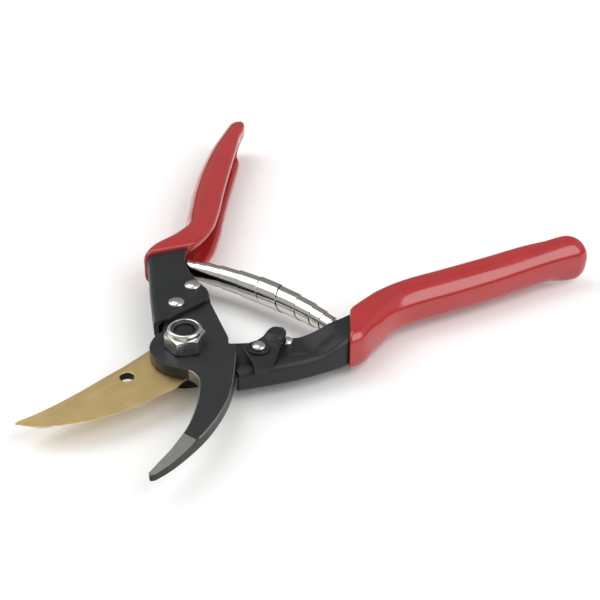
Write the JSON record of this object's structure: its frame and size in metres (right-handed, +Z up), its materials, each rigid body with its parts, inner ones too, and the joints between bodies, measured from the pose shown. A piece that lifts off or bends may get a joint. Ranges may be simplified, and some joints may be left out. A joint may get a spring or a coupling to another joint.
{
  "type": "pruning shears",
  "caption": "Bypass pruning shears with channel handles in red dipped grips, a gold-coated blade, a hooked counter blade, a double volute spring and a thumb latch.",
  "frame": {"origin": "centre of the flat underside of the pivot bolt's head, on the pivot axis", "axes": "+Z up along the pivot axis towards the lock nut, +Y towards the jaws, +X to the side of the hook's handle"},
  "size_m": [0.1754, 0.2063, 0.0222],
  "materials": {
    "paint_black": "satin",
    "hook_black": "satin",
    "blade_gold": "brushed, titanium nitride coated",
    "zinc_bright": "bright zinc plate",
    "spring_nickel": "polished nickel plate",
    "vinyl_red": "gloss",
    "bolt_black": "black oxide",
    "nylon_grey": "matte"
  },
  "bodies": {
    "hook_half": {"hook_blade": "hook_black", "hook_handle_channel": "paint_black", "hook_handle_grip": "vinyl_red", "hook_rivet_front": "zinc_bright", "hook_rivet_rear": "zinc_bright", "hook_spring_peg": "zinc_bright", "pivot_bolt": "bolt_black", "bolt_washer": "bolt_black", "lock_nut": "zinc_bright", "nut_nylon_ring": "nylon_grey"},
    "blade_half": {"cutting_blade": "blade_gold", "blade_handle_channel": "paint_black", "blade_handle_grip": "vinyl_red", "blade_spring_peg": "zinc_bright", "blade_rivet": "zinc_bright", "latch_rivet": "zinc_bright", "latch_spacer": "paint_black", "latch_washer": "paint_black"},
    "latch": {"latch_lever": "paint_black"},
    "spring": {"volute_spring": "spring_nickel"}
  },
  "joints": [
    {"name": "jaw_pivot", "type": "hinge", "parent": "hook_half", "child": "blade_half", "pos_m": [0, 0, 0.0098], "axis": [0, 0, 1], "range_deg": [0, 49], "stiffness_Nm_per_rad": 0.8, "springref_deg": -17.19, "deforming": ["volute_spring"]},
    {"name": "latch_pivot", "type": "hinge", "parent": "blade_half", "child": "latch", "pos_m": [-0.02383, -0.01178, 0.0151], "axis": [0, 0, -1], "range_deg": [0, 60]},
    {"name": "spring_swing", "type": "hinge", "parent": "hook_half", "child": "spring", "pos_m": [0.04533, -0.0411, 0.01025], "axis": [0, 0, 1], "range_deg": [0, 24.5]}
  ],
  "couplings": [
    {"joint": "spring_swing", "follows": "jaw_pivot", "ratio": 0.5}
  ]
}
